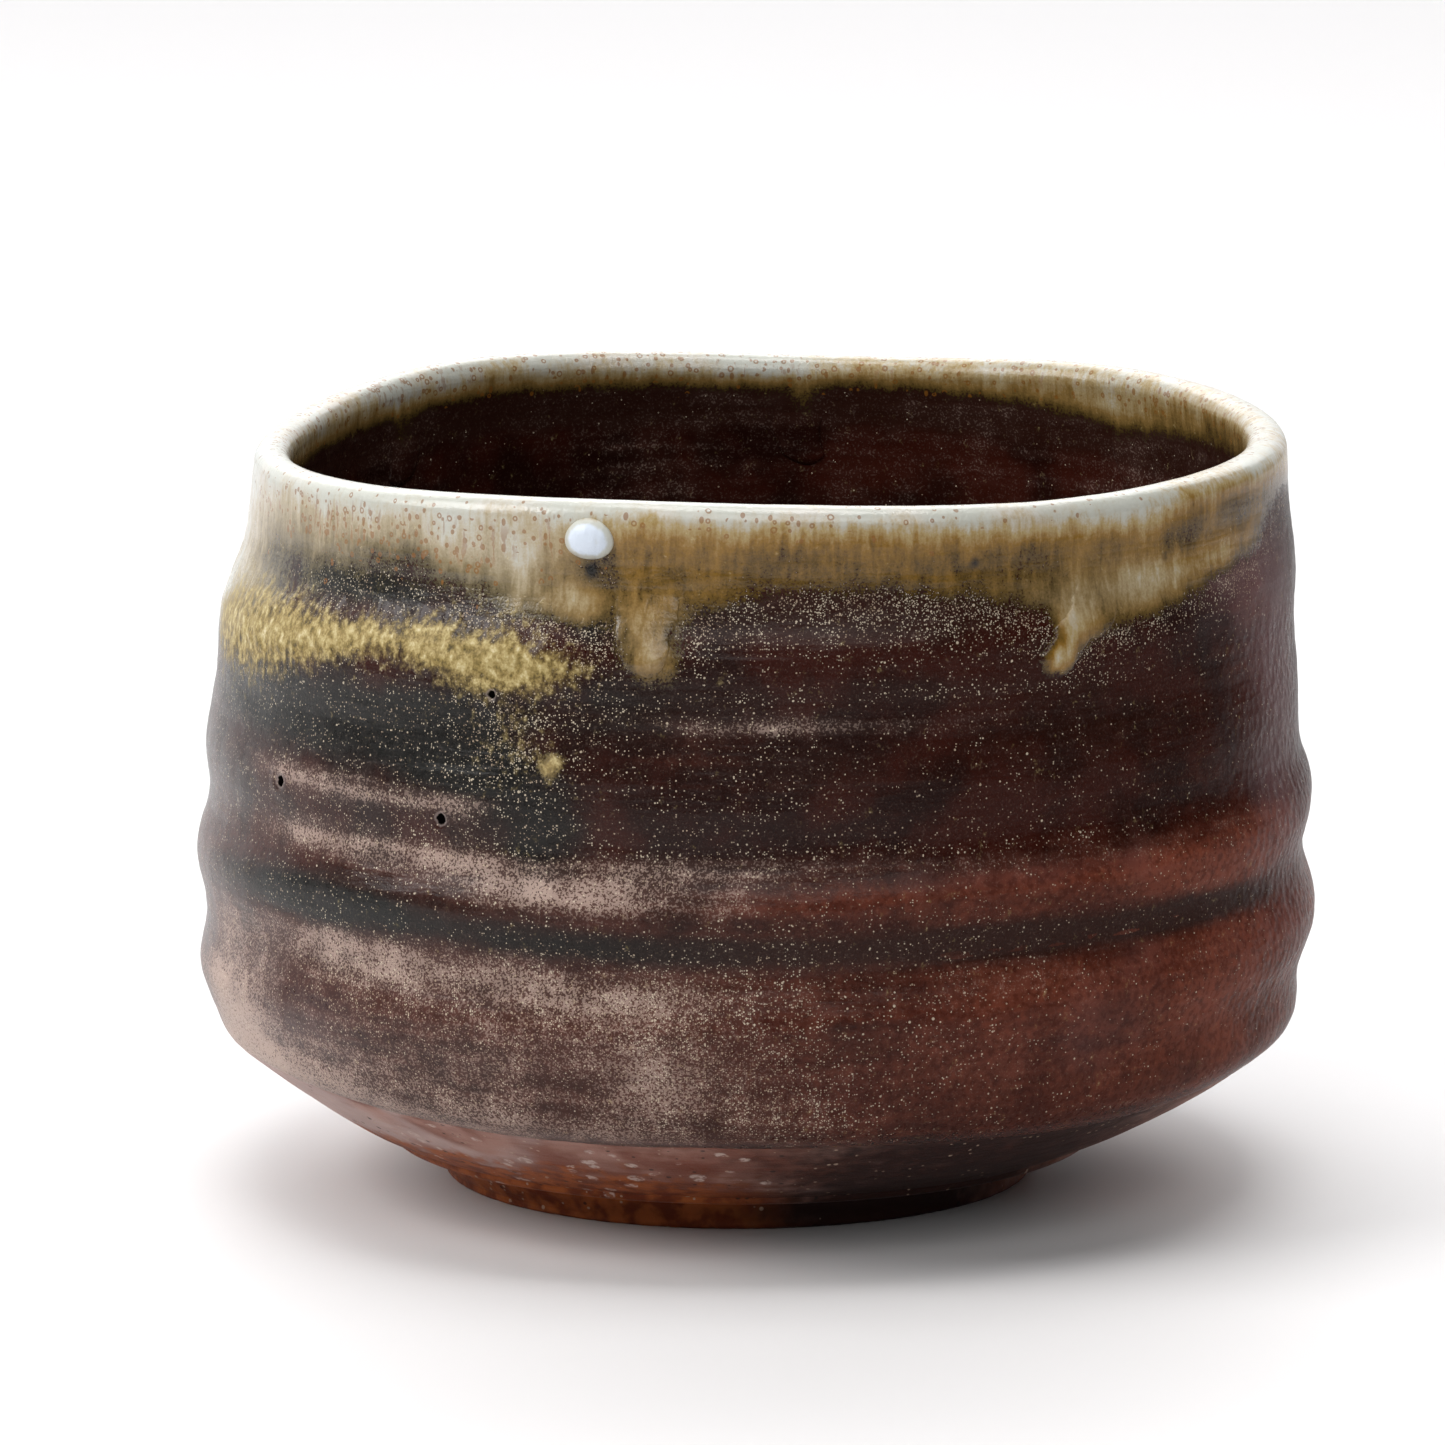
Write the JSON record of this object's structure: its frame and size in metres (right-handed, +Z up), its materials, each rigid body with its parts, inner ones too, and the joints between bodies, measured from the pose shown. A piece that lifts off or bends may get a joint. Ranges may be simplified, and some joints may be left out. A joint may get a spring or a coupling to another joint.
{
  "type": "matcha tea bowl",
  "caption": "Thrown half-cylinder tea bowl on a low turned foot, with a dark iron glaze, a pale ash glaze at the lip and runs of glaze.",
  "frame": {"origin": "on the table under the middle of the bowl", "axes": "+Z up out of the bowl's mouth; -Y towards the front, the side with the two runs of glaze; +X to the right seen from the front"},
  "size_m": [0.1201, 0.1196, 0.082],
  "materials": {
    "clay": "satin fired stoneware, flashed red-brown to mauve",
    "foot_clay": "bare turned stoneware, orange-brown to black",
    "iron_glaze": "dark iron glaze dusted with ash",
    "inner_glaze": "dark brown glaze",
    "ash_glaze": "glossy pale ash glaze over ochre",
    "run_glaze": "glossy ochre run of ash glaze",
    "ash_crust": "dry cream ash crust",
    "bead_glaze": "glossy bluish-white bead of glaze"
  },
  "bodies": {
    "root": {"clay_body": "clay", "foot_ring": "foot_clay", "outer_glaze": "iron_glaze", "inner_glaze": "inner_glaze", "rim_glaze": "ash_glaze", "outer_runs": "run_glaze", "inner_runs": "ash_glaze", "ash_crust": "ash_crust", "glaze_bead": "bead_glaze"}
  },
  "joints": []
}
